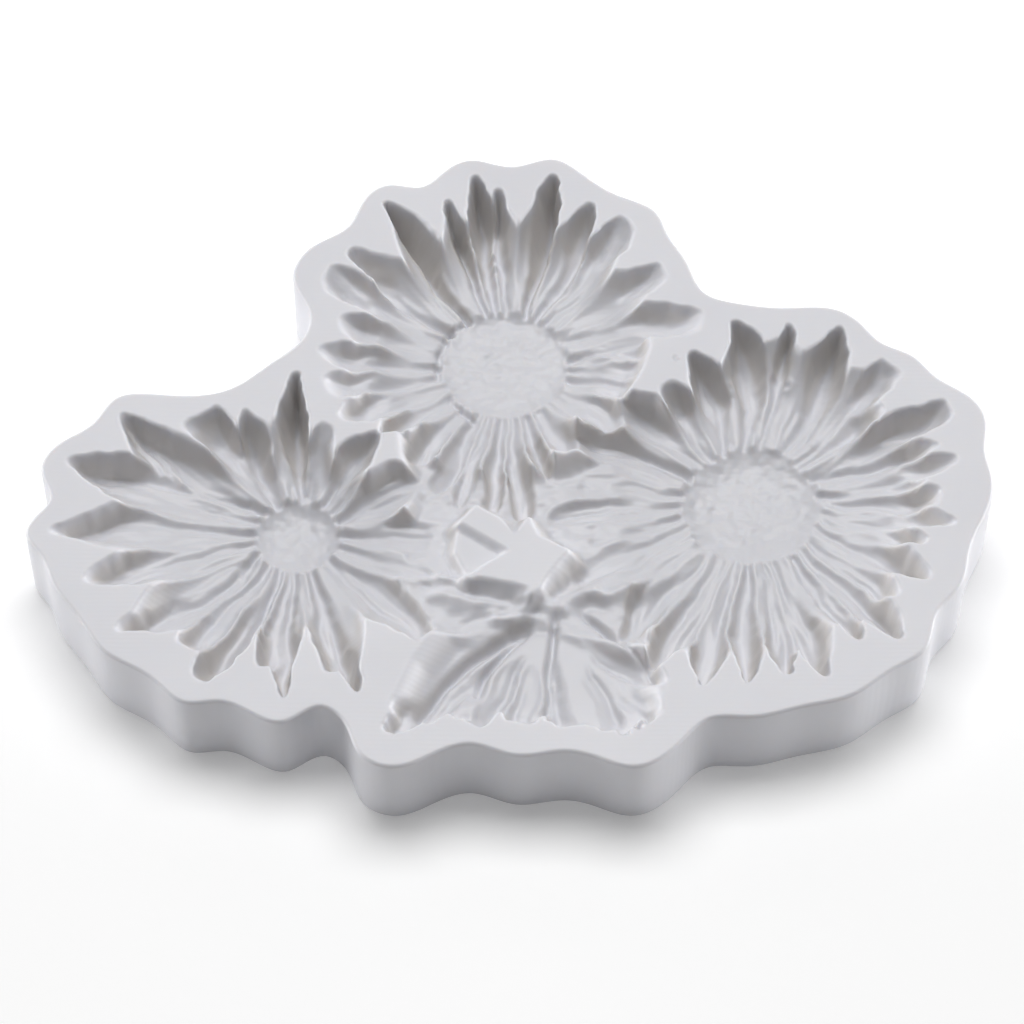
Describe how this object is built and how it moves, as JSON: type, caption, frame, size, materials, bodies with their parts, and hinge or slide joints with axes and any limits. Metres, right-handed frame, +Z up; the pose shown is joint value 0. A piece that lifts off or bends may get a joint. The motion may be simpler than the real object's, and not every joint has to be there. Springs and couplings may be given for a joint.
{
  "type": "silicone soap mould",
  "caption": "Flat flexible silicone mould with a scalloped edge; daisy heads and a leaf spray are sunk into its top to cast soap, wax or resin decorations.",
  "frame": {"origin": "middle of the flat underside, under the centre of the bounding box", "axes": "+Z up out of the open top, +X along the length, +Y towards the back, where the upper flower is"},
  "size_m": [0.1211, 0.0939, 0.012],
  "materials": {
    "silicone": "satin"
  },
  "bodies": {
    "root": {"mould_body": "silicone"}
  },
  "joints": []
}
